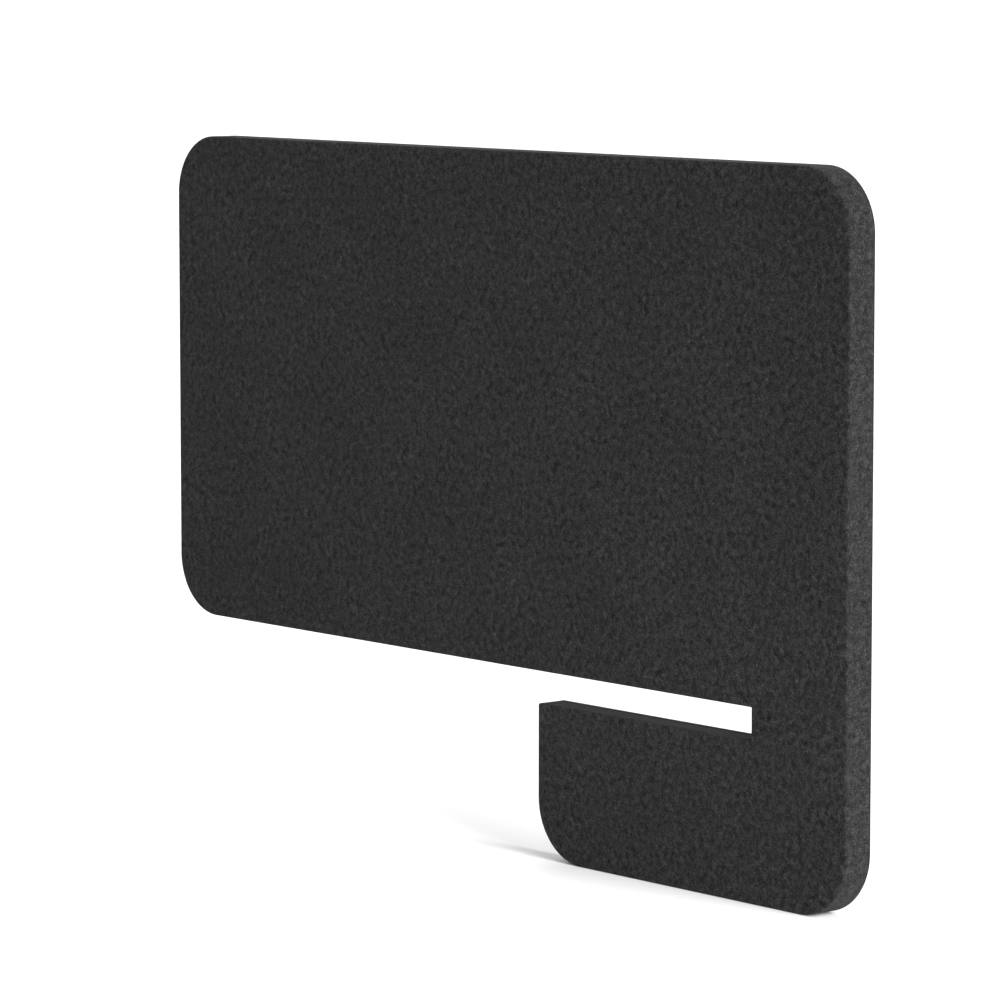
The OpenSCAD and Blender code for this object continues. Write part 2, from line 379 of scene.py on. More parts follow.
def felt(name, dark, base, light, specular, sheen, contrast=2.55, seed=1):
    """Needled felt of dyed fibres mixed with darker and lighter ones. Lengths are in mm."""
    look = Look(name, Specular_IOR_Level=specular, Sheen_Weight=sheen, Sheen_Roughness=0.55)
    where = look.place_in_mm(look.attribute("lie", "Vector"))
    curled = look.shifted(where, 2.2, 9.0)
    fine = look.shifted(where, 0.8, 3.0)
    # Each kind of fibre: its length and width, how many ways it lies, and how much shows
    pale = strands(look, curled, 7.0, 0.62, 4, 0.63, 0.73, seed)
    deep = strands(look, curled, 6.0, 0.80, 3, 0.61, 0.72, seed + 1)
    specks = strands(look, fine, 2.6, 0.60, 3, 0.67, 0.75, seed + 2)
    wisps = strands(look, curled, 10.0, 1.5, 4, 0.56, 0.74, seed + 3)
    # Two layers of noise turned apart, so that their lattices don't show as a weave
    mottle = 0.5
    for angle in (0.5, 1.12):
        layer = look.noise(look.stretched(fine, (6.0, 6.0, 1.0), angle), 1.0, 2.5, 0.6,
                           dimensions="2D")
        mottle = look.math("ADD", mottle, look.math("MULTIPLY_ADD", layer, 0.7, -0.35))
    patchy = look.step(look.noise(where, 24.0, 1.0, dimensions="2D"), 0.30, 0.70, 0.75, 1.25)
    cloud = look.noise(where, 85.0, 2.0, dimensions="2D")
    grain = look.noise(where, 0.5, 2.0, dimensions="2D")
    worn = look.attribute("wear", "Fac")

    # The ground, then wisps, dark and pale fibres, bright specks and a fuzzy worn arris
    colour = look.mix(look.step(grain, 0.3, 0.7), grey(base * 0.88), grey(base * 1.12))
    colour = look.mix(look.math("MULTIPLY", wisps, 0.22), colour, grey(light))
    colour = look.mix(look.math("MULTIPLY", deep, 0.55), colour, grey(dark))
    colour = look.mix(look.math("MULTIPLY", pale, 0.60), colour, grey(light))
    colour = look.mix(look.math("MULTIPLY", specks, 0.70), colour, grey(light * 1.5))
    fuzz = look.math("MULTIPLY", worn, look.step(grain, 0.35, 0.7, 0.0, 0.12))
    colour = look.mix(fuzz, colour, grey(light))
    # The mottle lightens and darkens it, more in some patches than in others
    swing = look.math("MULTIPLY", look.math("SUBTRACT", mottle, 0.5), patchy)
    swing = look.math("MAXIMUM", look.math("MULTIPLY", swing, contrast), -0.7)
    shade = look.math("MULTIPLY", look.step(cloud, 0.25, 0.75, 0.935, 1.065),
                      look.math("ADD", swing, 1.0))
    colour = look.mix(1.0, colour, look.node("CombineColor", {0: shade, 1: shade, 2: shade})
                      .outputs[0], "MULTIPLY")
    height = look.math("ADD", look.math("MULTIPLY", pale, 0.5),
                       look.math("MULTIPLY", grain, 0.5))
    height = look.math("ADD", height, look.math("MULTIPLY", mottle, 0.8))
    height = look.math("SUBTRACT", height, look.math("MULTIPLY", deep, 0.35))
    roughness = look.step(grain, 0.2, 0.8, 0.86, 1.0)
    return look.finish(colour, roughness, height, 0.00035, 0.7)


PLY = 1.385  # thickness of one ply
PLY_SHIFT = 50.25  # pairs of plies: positive all through, with a ply astride y = 0


def plywood(name, along):
    """Birch plywood with its layers across Y and its face grain along X (0) or Z (2)."""
    look = Look(name, Specular_IOR_Level=0.35)
    where = look.place_in_mm(look.node("TexCoord", {}).outputs["Object"])
    long, short = 70.0, 1.6  # the grain's figure, along and across
    scale = (long, short, short) if along == 0 else (short, short, long)
    cross = (short, short, long) if along == 0 else (long, short, short)
    wavy = look.shifted(where, 3.0, 60.0, "3D")
    face = look.noise(look.stretched(wavy, scale), 1.0, 3.0, 0.6)
    other = look.noise(look.stretched(wavy, cross), 1.0, 3.0, 0.6)
    figure = look.noise(look.stretched(wavy, tuple(6 * s for s in scale)), 1.0, 2.0)
    pores = look.step(look.noise(look.stretched(where, tuple(0.35 * s for s in scale)),
                                 1.0, 1.0), 0.62, 0.75)
    y = look.node("SeparateXYZ", {0: where}).outputs[1]
    pair = look.math("FRACT", look.math("ADD", look.math("DIVIDE", y, 2 * PLY), PLY_SHIFT))
    layer = look.step(pair, 0.47, 0.53)
    glue = look.step(look.math("ABSOLUTE", look.math("SUBTRACT", pair, 0.5)),
                     0.0, 0.05, 1.0, 0.0)
    light = look.mix(look.step(face, 0.3, 0.7), (0.60, 0.43, 0.25, 1), (0.74, 0.57, 0.36, 1))
    dusky = look.mix(look.step(other, 0.3, 0.7), (0.40, 0.26, 0.14, 1), (0.55, 0.39, 0.23, 1))
    colour = look.mix(look.math("MULTIPLY", layer, 0.75), light, dusky)
    colour = look.mix(look.step(figure, 0.45, 0.75, 0.0, 0.35), colour, (0.50, 0.33, 0.18, 1))
    colour = look.mix(look.math("MULTIPLY", pores, 0.45), colour, (0.26, 0.15, 0.08, 1))
    colour = look.mix(look.math("MULTIPLY", glue, 0.6), colour, (0.16, 0.09, 0.05, 1))
    roughness = look.step(face, 0.2, 0.8, 0.52, 0.72)
    height = look.math("SUBTRACT", look.math("ADD", face, look.math("MULTIPLY", layer, 0.25)),
                       pores)
    return look.finish(colour, roughness, height, 0.00025, 0.6)


def beech(name):
    """Beech turned to dowels, its grain along the piece's own length."""
    look = Look(name, Specular_IOR_Level=0.4)
    where = look.place_in_mm(look.attribute("lie", "Vector"))
    bent = look.shifted(where, 0.6, 18.0, "3D")
    grain = look.noise(look.stretched(bent, (26.0, 0.7, 0.7)), 1.0, 3.0, 0.6)
    flecks = look.step(look.noise(look.stretched(where, (2.4, 0.28, 0.28)), 1.0, 1.0), 0.62, 0.72)
    colour = look.mix(look.step(grain, 0.3, 0.7), (0.50, 0.29, 0.15, 1), (0.66, 0.43, 0.25, 1))
    colour = look.mix(look.math("MULTIPLY", flecks, 0.6), colour, (0.30, 0.15, 0.07, 1))
    height = look.math("SUBTRACT", grain, look.math("MULTIPLY", flecks, 0.6))
    return look.finish(colour, look.step(grain, 0.2, 0.8, 0.48, 0.66), height, 0.0002, 0.6)


def zinc(name):
    """Zinc-plated steel: a dull cloudy finish with drawn scratches along the strip."""
    look = Look(name, Metallic=1.0)
    where = look.place_in_mm(look.node("TexCoord", {}).outputs["Object"])
    cloud = look.noise(where, 9.0, 3.0, 0.6)
    drawn = look.noise(look.stretched(where, (45.0, 0.35, 0.35)), 1.0, 2.0)
    cells = look.node("TexVoronoi", {"Vector": where, "Scale": 1 / 6.0}).outputs["Color"]
    colour = look.mix(look.step(cloud, 0.3, 0.7), (0.42, 0.44, 0.46, 1), (0.62, 0.64, 0.65, 1))
    colour = look.mix(0.10, colour, cells)
    stain = look.step(look.noise(where, 16.0, 4.0, 0.65), 0.62, 0.74, 0.0, 0.5)
    colour = look.mix(stain, colour, (0.30, 0.27, 0.22, 1))
    roughness = look.math("ADD", look.step(cloud, 0.2, 0.8, 0.28, 0.46),
                          look.step(drawn, 0.3, 0.7, 0.0, 0.12))
    return look.finish(colour, roughness, look.math("ADD", drawn, cloud), 0.00006, 0.5)


def rubber(name):
    """Extruded rubber: matt black, with a faint bloom, dust and fine pitting."""
    look = Look(name, Specular_IOR_Level=0.35)
    where = look.place_in_mm(look.attribute("lie", "Vector"))
    bloom = look.noise(where, 22.0, 3.0, 0.6)
    drag = look.noise(look.stretched(where, (30.0, 0.5, 0.5)), 1.0, 2.0)
    pits = look.step(look.noise(where, 0.45, 2.0), 0.60, 0.72)
    dust = look.step(look.noise(where, 1.1, 3.0, 0.7), 0.66, 0.78, 0.0, 0.5)
    colour = look.mix(look.step(bloom, 0.3, 0.7), grey(0.016), grey(0.030))
    colour = look.mix(look.step(drag, 0.5, 0.8, 0.0, 0.4), colour, grey(0.042))
    colour = look.mix(dust, colour, grey(0.12, 0.06))
    roughness = look.math("ADD", look.step(bloom, 0.2, 0.8, 0.55, 0.75),
                          look.math("MULTIPLY", pits, 0.15))
    height = look.math("SUBTRACT", look.math("MULTIPLY", drag, 0.5), pits)
    return look.finish(colour, roughness, height, 0.00012, 0.6)


def wadding(name):
    """Bonded polyester fibre: off-white, cloudy, with loose strands lying all ways."""
    look = Look(name, Specular_IOR_Level=0.2, Sheen_Weight=0.35, Sheen_Roughness=0.5)
    where = look.place_in_mm(look.node("TexCoord", {}).outputs["Object"])
    tilt = look.node("Mapping", {"Vector": where, "Rotation": (math.pi / 2, 0.0, 0.0)},
                     vector_type="TEXTURE").outputs[0]
    curled = look.shifted(tilt, 6.0, 22.0, "3D")
    strand = strands(look, curled, 24.0, 0.9, 6, 0.58, 0.68, 31)
    deep = strands(look, curled, 14.0, 1.6, 4, 0.58, 0.70, 32)
    clump = look.noise(where, 13.0, 3.0, 0.6)
    dust = look.step(look.noise(where, 2.2, 2.0), 0.66, 0.76, 0.0, 0.35)
    colour = look.mix(look.step(clump, 0.3, 0.7), (0.60, 0.59, 0.55, 1), (0.82, 0.81, 0.77, 1))
    colour = look.mix(look.math("MULTIPLY", deep, 0.5), colour, (0.44, 0.43, 0.40, 1))
    colour = look.mix(look.math("MULTIPLY", strand, 0.7), colour, (0.90, 0.89, 0.86, 1))
    colour = look.mix(dust, colour, (0.42, 0.44, 0.48, 1))
    height = look.math("SUBTRACT", look.math("ADD", clump, look.math("MULTIPLY", strand, 0.5)),
                       look.math("MULTIPLY", deep, 0.5))
    return look.finish(colour, look.step(clump, 0.2, 0.8, 0.88, 1.0), height, 0.0015, 0.8)


CHARCOAL = felt("charcoal_felt", dark=0.0034, base=0.0077, light=0.0350, specular=0.03,
                sheen=0.035)
# The covers' charcoal felt painted lighter: painted light standing in for the key lamp on the
# band's narrow faces. The felt inside the slot uses it too.
CHARCOAL_PAINTED_LIGHTER = felt("charcoal_felt_painted_lighter", dark=0.0040, base=0.0087, light=0.0375,
                     specular=0.03, sheen=0.035, contrast=1.9, seed=5)
PRESSED = felt("pressed_felt", dark=0.07, base=0.16, light=0.36, specular=0.1, sheen=0.08,
               seed=11)
PLY_X = plywood("plywood_along_x", 0)
PLY_Z = plywood("plywood_along_z", 2)
BEECH = beech("beech")
ZINC = zinc("zinc_steel")
RUBBER = rubber("rubber")
WADDING = wadding("wadding")

# ---------------------------------------------------------------- felt covers

COVER_ROUND = 1.55  # the cover's outer arris
COVER_BACK_ROUND = 0.35
COVER_GRID = 3.5  # between the points of a cover's relief


def cover_relief(seed):
    """The faint unevenness of felt stretched over a flat board, in mm."""
    def relief(u, v):
        broad = 0.10 * ripple(u, v, 160.0, seed)
        patches = 0.045 * ripple(u, v, 34.0, seed + 1)
        return broad + patches + 0.022 * ripple(u, v, 11.0, seed + 2, 24)
    return relief


def cover(name, side, seed):
    """One broad face's felt, on the -Y side or the +Y side."""
    def place(plane, height):
        return np.column_stack([plane[:, 0], side * (COVER_BACK_Y + height), plane[:, 1]])
    points, normals = panel_loop(0.0)
    shape = plate(points, normals, FELT, COVER_ROUND, COVER_BACK_ROUND, COVER_GRID,
                  cover_relief(seed), place)
    return stand(build(name + "_felt", *shape[:3], CHARCOAL, shape[3]), name)


outer_felt = cover("outer_cover", -1, 101)
inner_felt = cover("inner_cover", 1, 202)


BOARD_CLEAR = 0.2  # between a board and the felt round its edges
LINER_CLEAR = 0.3  # between a board and the steel liner
BOARD_ROUND = 0.6  # the board's cut edges
BOARD_BACK_ROUND = 0.4
BOARD_GRID = 6.0
BOARD_CORNERS = [1.0, 1.0, 2.0]  # nearly square: the slot's closed end and the leg's top
LINER_CORNERS = [0.9, 0.9]  # where the board steps back for the steel liner


def backing(name, side, seed):
    """The pressed felt board under a cover, cut back round the slot's steel liner."""
    board_low, board_high = node_box(name)
    near = board_low[1] if side > 0 else -board_high[1]
    thickness = board_high[1] - board_low[1]
    liner_low, liner_high = node_box("slot_liner")
    rear, front = board_low[0] + BOARD_CLEAR, board_high[0] - BOARD_CLEAR
    bottom, top = board_low[2] + BOARD_CLEAR, board_high[2] - BOARD_CLEAR
    leg, lower = LEG_REAR_X + FELT + BOARD_CLEAR, SLOT_ROOF_Z + FELT + BOARD_CLEAR
    floor, roof = liner_low[2] - LINER_CLEAR, liner_high[2] + LINER_CLEAR
    liner_start, end = liner_low[0] - LINER_CLEAR, liner_high[0] + LINER_CLEAR
    corners = [
        (end, roof), (end, floor), (leg, floor), (leg, bottom), (front, bottom), (front, top),
        (rear, top), (rear, lower), (liner_start, lower), (liner_start, roof),
    ]
    radii = BOARD_CORNERS + [CORNER_RADIUS - FELT] * 5 + LINER_CORNERS
    points, normals = rounded_loop(corners, radii, BOARD_GRID)

    def place(plane, height):
        return np.column_stack([plane[:, 0], side * (near + height), plane[:, 1]])

    def relief(u, v):
        return -0.08 + 0.05 * ripple(u, v, 40.0, seed) + 0.03 * ripple(u, v, 12.0, seed + 1)

    shape = plate(points, normals, thickness, BOARD_ROUND, BOARD_BACK_ROUND, BOARD_GRID,
                  relief, place)
    return stand(build(name + "_board", *shape[:3], PRESSED, shape[3]), name)


outer_board = backing("outer_backing", -1, 301)
inner_board = backing("inner_backing", 1, 302)

# ---------------------------------------------------------------- felt edge band

BAND_ROUND = 0.4  # the band's long edges, at the seams
BAND_BACK_ROUND = 0.3
BAND_CORNER = 0.5
BAND_GRID = 2.4
BAND_STEP = 2.5  # between points along the band
BAND_END_GAP = 0.1  # between the band's end and the felt turned into the slot
CORNER_REACH = 2.0  # longer than the slot's inner corners are round
outline, outline_normals = panel_loop(0.0, BAND_STEP)


def band_path():
    """The outline from the screen's lower edge round the back, top, front and leg to the
    slot's mouth, as points, normals and running lengths."""
    on_roof = (outline[:, 1] == SLOT_ROOF_Z) & (outline[:, 0] < SLOT_END_X)
    on_floor = (outline[:, 1] == SLOT_FLOOR_Z) & (outline[:, 0] < SLOT_END_X)
    keep = ~(on_roof & (outline[:, 0] > BAND_START_X)) & ~on_floor
    keep &= np.hypot(outline[:, 0] - SLOT_END_X, outline[:, 1] - SLOT_ROOF_Z) > CORNER_REACH
    keep &= np.hypot(outline[:, 0] - SLOT_END_X, outline[:, 1] - SLOT_FLOOR_Z) > CORNER_REACH
    keep &= ~((outline[:, 0] == SLOT_END_X) & (outline[:, 1] < SLOT_ROOF_Z)
              & (outline[:, 1] > SLOT_FLOOR_Z))
    first = int(np.argmax(keep & ~np.roll(keep, 1)))
    order = [(first + i) % len(outline) for i in range(len(outline))]
    order = [i for i in order if keep[i]]
    points, normals = outline[order], outline_normals[order]
    end = np.array([[BAND_START_X + BAND_END_GAP, SLOT_ROOF_Z]])
    points, normals = np.vstack([points, end]), np.vstack([normals, [[0.0, -1.0]]])
    lengths = np.concatenate([[0.0], np.cumsum(np.linalg.norm(np.diff(points, axis=0), axis=1))])
    return points, normals, lengths


band_points, band_normals, band_lengths = band_path()
BAND_WIDTH = 2 * COVER_BACK_Y
BAND_LENGTH = band_lengths[-1]


def band_place(plane, height):
    """Bends the flat band round the outline."""
    run = plane[:, 0]
    x = np.interp(run, band_lengths, band_points[:, 0])
    z = np.interp(run, band_lengths, band_points[:, 1])
    nx = np.interp(run, band_lengths, band_normals[:, 0])
    nz = np.interp(run, band_lengths, band_normals[:, 1])
    size = np.hypot(nx, nz)
    sunk = FELT - height
    return np.column_stack([x - nx / size * sunk, plane[:, 1], z - nz / size * sunk])


def band_relief(u, v):
    """The faint unevenness of the band, in mm."""
    return 0.05 * ripple(u, v, 60.0, 401) + 0.02 * ripple(u, v, 12.0, 402, 24)


def strip_loop(low, high, half_width, step, radius, middle=0.0):
    """A long rectangle with slightly rounded corners."""
    corners = [(low, middle - half_width), (high, middle - half_width),
               (high, middle + half_width), (low, middle + half_width)]
    return rounded_loop(corners, [radius] * 4, step, 0.4)


loop = strip_loop(0.0, BAND_LENGTH, BAND_WIDTH / 2, BAND_STEP, BAND_CORNER)
shape = plate(*loop, FELT, BAND_ROUND, BAND_BACK_ROUND, BAND_GRID, band_relief, band_place)
band = stand(build("edge_band_felt", *shape[:3], CHARCOAL_PAINTED_LIGHTER, shape[3]), "edge_band")

# ---------------------------------------------------------------- felt inside the slot

STRIP_END_GAP = 0.1  # between a strip and what it ends at
STRIP_SIDE_GAP = 0.05  # between a strip and what lies beside it
STRIP_CORNER = 0.7
STRIP_ROUND = 0.5
STRIP_BACK_ROUND = 0.3
STRIP_STEP = 3.0  # between points along a strip
STRIP_GRID = 1.6


def slot_strips(node, low, high, place, seed):
    """The two strips of felt beside the rubber on one wall of the slot. place puts a run
    along the wall, a y and a height above the wall's back into the row frame."""
    inner = node_box("upper_grip")[1][1]
    outer = COVER_BACK_Y
    parts = []
    for side in (-1, 1):
        middle = side * (inner + outer) / 2
        loop = strip_loop(low + STRIP_END_GAP, high - STRIP_END_GAP,
                          (outer - inner) / 2 - STRIP_SIDE_GAP, STRIP_STEP, STRIP_CORNER,
                          middle)

        def relief(u, v):
            return -0.03 + 0.02 * ripple(u, v, 25.0, seed + side)

        parts.append(plate(*loop, FELT, STRIP_ROUND, STRIP_BACK_ROUND, STRIP_GRID, relief,
                           place))
    shape = joined(parts)
    return stand(build(node + "_felt", *shape[:3], CHARCOAL_PAINTED_LIGHTER, shape[3]), node)


def on_roof(plane, height):
    """Places a shape on the slot's roof: plane is the run along X and Y."""
    return np.column_stack([plane[:, 0], plane[:, 1], SLOT_ROOF_Z + FELT - height])


def on_floor(plane, height):
    """The same, on the slot's floor."""
    return np.column_stack([plane[:, 0], plane[:, 1], SLOT_FLOOR_Z - FELT + height])


def on_end(plane, height):
    """The same, on the slot's closed end, where the run is along Z."""
    return np.column_stack([SLOT_END_X + FELT - height, plane[:, 1], plane[:, 0]])


roof_felt = slot_strips("slot_roof_band", BAND_START_X, SLOT_END_X + FELT, on_roof, 501)
end_felt = slot_strips("slot_end_band", SLOT_FLOOR_Z, SLOT_ROOF_Z, on_end, 511)
floor_felt = slot_strips("slot_floor_band", LEG_REAR_X + FELT, SLOT_END_X + FELT, on_floor, 521)

# ---------------------------------------------------------------- rubber in the slot

RIB_PITCH = 2.0
RIB_DEPTH = 0.55
RIB_POINTS = 8  # points across one rib
GRIP_SIDE_GAP = 0.08  # between the rubber and the felt beside it
GRIP_START_GAP = 0.2  # between a grip's outer end and the felt round the slot's mouth
GRIP_END_GAP = 0.1  # between one strip of rubber and the next, at the slot's inner corners
GRIP_SHOULDER = 1.2  # height of its plain sides
GRIP_CHAMFER = 0.25
GRIP_MARGIN = 0.35  # from its sides to the first rib
END_THICKNESS = 0.93  # share of the thickness left at its cut ends
GRIP_STEP = 9.0  # between sections along it
GRIP_END_STEP = 4.0  # from its ends to the first of those sections


def grip(node, low, high, place):
    """A rubber strip extruded with ribs along its length, their crests at the wall's face."""
    half = node_box("upper_grip")[1][1] - GRIP_SIDE_GAP
    ribs = round(2 * half / RIB_PITCH)
    samples = ribs * RIB_POINTS
    face = []
    for k in range(samples + 1):
        y = (half - GRIP_MARGIN) * (2 * k / samples - 1)
        wave = 0.5 - 0.5 * math.cos(2 * math.pi * ribs * k / samples)
        face.append((y, FELT - RIB_DEPTH + RIB_DEPTH * wave ** 0.8))
    base = half - GRIP_CHAMFER
    section = np.array([(-half, GRIP_CHAMFER), (-half, GRIP_SHOULDER)] + face
                       + [(half, GRIP_SHOULDER), (half, GRIP_CHAMFER), (base, 0.0), (-base, 0.0)])
    centre = np.array([0.0, FELT / 2])
    steps = max(2, round((high - low) / GRIP_STEP))
    inner_runs = np.linspace(low + GRIP_END_STEP, high - GRIP_END_STEP, steps)
    runs = [low, low + GRIP_CHAMFER, *inner_runs, high - GRIP_CHAMFER, high]
    vertices, lie = [], []
    around = np.concatenate([[0], np.cumsum(np.linalg.norm(np.diff(section, axis=0), axis=1))])
    for i, run in enumerate(runs):
        shrink = END_THICKNESS if i in (0, len(runs) - 1) else 1.0
        points = centre + (section - centre) * (1, shrink)
        vertices.append(place(np.column_stack([np.full(len(points), run), points[:, 0]]),
                              points[:, 1]))
        lie.append(np.column_stack([np.full(len(points), run), around, points[:, 1]]) * MM)
    count = len(section)
    faces = []
    for i in range(len(runs) - 1):
        for j in range(count):
            k = (j + 1) % count
            faces.append([i * count + j, i * count + k, (i + 1) * count + k, (i + 1) * count + j])
    ends = fill(section)
    first = len(faces)
    faces.extend([list(t)[::-1] for t in ends])
    last = (len(runs) - 1) * count
    faces.extend([[last + i for i in t] for t in ends])
    piece = build(node + "_rubber", np.vstack(vertices), faces, {"lie": np.vstack(lie)}, RUBBER,
                  range(first, len(faces)))
    return stand(piece, node)


grip("upper_grip", BAND_START_X + GRIP_START_GAP, SLOT_END_X - GRIP_END_GAP, on_roof)
grip("lower_grip", LEG_REAR_X + FELT + GRIP_START_GAP, SLOT_END_X - GRIP_END_GAP, on_floor)
grip("end_bumper", SLOT_FLOOR_Z + GRIP_END_GAP, SLOT_ROOF_Z - GRIP_END_GAP, on_end)

# ---------------------------------------------------------------- dowels


def islands(mesh):
    """The box of each separate solid of a mesh, in mm."""
    work = bmesh.new()
    work.from_mesh(mesh)
    seen, boxes = set(), []
    for vertex in work.verts:
        if vertex in seen:
            continue
        stack, found = [vertex], []
        seen.add(vertex)
        while stack:
            here = stack.pop()
            found.append(here.co / MM)
            for edge in here.link_edges:
                other = edge.other_vert(here)
                if other not in seen:
                    seen.add(other)
                    stack.append(other)
        points = np.array(found)
        boxes.append((points.min(0), points.max(0)))
    work.free()
    return boxes


FLUTES = 18
FLUTE_POINTS = 4  # points across one flute
FLUTE_DEPTH = 0.28
DOWEL_CLEAR = 0.02  # between a dowel and its bore
# Sections along a dowel: the share of its length from its middle, and of its radius
DOWEL_PROFILE = [(-0.5, 0.78), (-0.47, 0.97), (-0.44, 1.0), (-0.15, 1.0), (0.15, 1.0),
                 (0.44, 1.0), (0.47, 0.97), (0.5, 0.78)]


def dowel(low, high):
    """One fluted dowel with chamfered ends, in its solid's place."""
    axis = int(np.argmax(high - low))
    centre = (low + high) / 2
    length = (high - low)[axis]
    radius = (high - low).min() / 2 - DOWEL_CLEAR
    across = [a for a in (0, 1, 2) if a != axis]
    around = FLUTES * FLUTE_POINTS
    grain_start = (3 * centre[axis], 2 * centre[0])  # so that no two dowels' grain is the same
    vertices, lie = [], []
    for share, size in DOWEL_PROFILE:
        for k in range(around):
            angle = 2 * math.pi * k / around
            groove = FLUTE_DEPTH * (0.5 - 0.5 * math.cos(FLUTES * angle)) ** 2
            r = (radius - groove) * size
            point = centre.copy()
            point[axis] += share * length
            point[across[0]] += r * math.cos(angle)
            point[across[1]] += r * math.sin(angle)
            vertices.append(point)
            lie.append([share * length + grain_start[0], r * math.cos(angle) + grain_start[1],
                        r * math.sin(angle)])
    faces = []
    last = len(DOWEL_PROFILE) - 1
    for i in range(last):
        for k in range(around):
            n = (k + 1) % around
            faces.append([i * around + k, i * around + n, (i + 1) * around + n,
                          (i + 1) * around + k])
    caps = [len(faces), len(faces) + 1]
    faces.append(list(range(around))[::-1])
    faces.append([last * around + k for k in range(around)])
    return np.array(vertices), faces, {"lie": np.array(lie) * MM}, caps


shape = joined([dowel(*solid) for solid in islands(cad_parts["frame_dowels"].data)])
stand(build("frame_dowels_fluted", *shape[:3], BEECH, shape[3]), "frame_dowels")

# ---------------------------------------------------------------- wadding

PAD_VOXEL = 5.0
PAD_CAP = 6.0  # how far a point may move as the pad swells
PAD_PULL = 1.5  # how far a pad's sides draw in between its corners
PAD_GAP = 3.0  # between the pad and its bay before it swells
PAD_CLEAR = 0.15  # between the pad and its bay afterwards
PAD_SUNK = 0.7  # how far the lumpy face lies below the pad's full thickness
PAD_ROUND = 5.5
PAD_CORNER = 9.0
NOTCH_CORNERS = [8.0, 4.0, 8.0]  # radii round a corner block
PAD_STEP = 5.0  # between points along the outline
PAD_GRID = 6.0
PAD_PRESSURE = 4
PAD_FRAMES = 20
BLOCKS = ["top_rear_block", "top_front_block", "lower_rear_block", "leg_rear_block",
          "leg_front_block"]


def pad_loop(low, high):
    """The outline of a bay's wadding, a little inside the bay, with a corner cut back where a
    corner block stands in it."""
    x0, z0, x1, z1 = low[0] + PAD_GAP, low[2] + PAD_GAP, high[0] - PAD_GAP, high[2] - PAD_GAP
    corners, radii = [], []
    for x, z, sx, sz in ((x0, z0, 1, 1), (x1, z0, -1, 1), (x1, z1, -1, -1), (x0, z1, 1, -1)):
        across, up = 0.0, 0.0
        for block_low, block_high in map(node_box, BLOCKS):
            start, end = np.maximum(low, block_low), np.minimum(high, block_high)
            from_corner = np.abs((start + end)[[0, 2]] / 2 - (x, z))
            if (end > start).all() and (from_corner < (end - start)[[0, 2]]).all():
                across, _, up = end - start
        if across == 0:
            corners.append((x, z))
            radii.append(PAD_CORNER)
            continue
        cut = [(x, z + sz * up), (x + sx * across, z + sz * up), (x + sx * across, z)]
        corners.extend(cut if sx * sz > 0 else cut[::-1])
        radii.extend(NOTCH_CORNERS)
    return rounded_loop(corners, radii, PAD_STEP)


def pad(node, seed):
    """Loose wadding that fills a bay: swollen by a cloth simulation and held flat only where
    it rests on the boards and the rails."""
    low, high = node_box(node)
    points, normals = pad_loop(low, high)
    thickness = high[1] - low[1] - PAD_GAP
    middle = (points.min(0) + points.max(0)) / 2
    half = (points.max(0) - points.min(0)) / 2
    along = ((points - middle) / half)[:, ::-1]
    points = points - PAD_PULL * normals * (1 - along ** 2).max(axis=1)[:, None]

    def place(plane, height):
        return np.column_stack([plane[:, 0], height - thickness / 2, plane[:, 1]])

    def relief(u, v):
        lumps = 0.7 * ripple(u, v, 55.0, seed) + 0.35 * ripple(u, v, 18.0, seed + 1)
        return lumps - PAD_SUNK

    shape = plate(points, normals, thickness, PAD_ROUND, PAD_ROUND, PAD_GRID, relief, place)
    piece = build(node + "_wadding", *shape[:3], WADDING)
    swell(piece, low + PAD_CLEAR, high - PAD_CLEAR)
    return stand(piece, node)


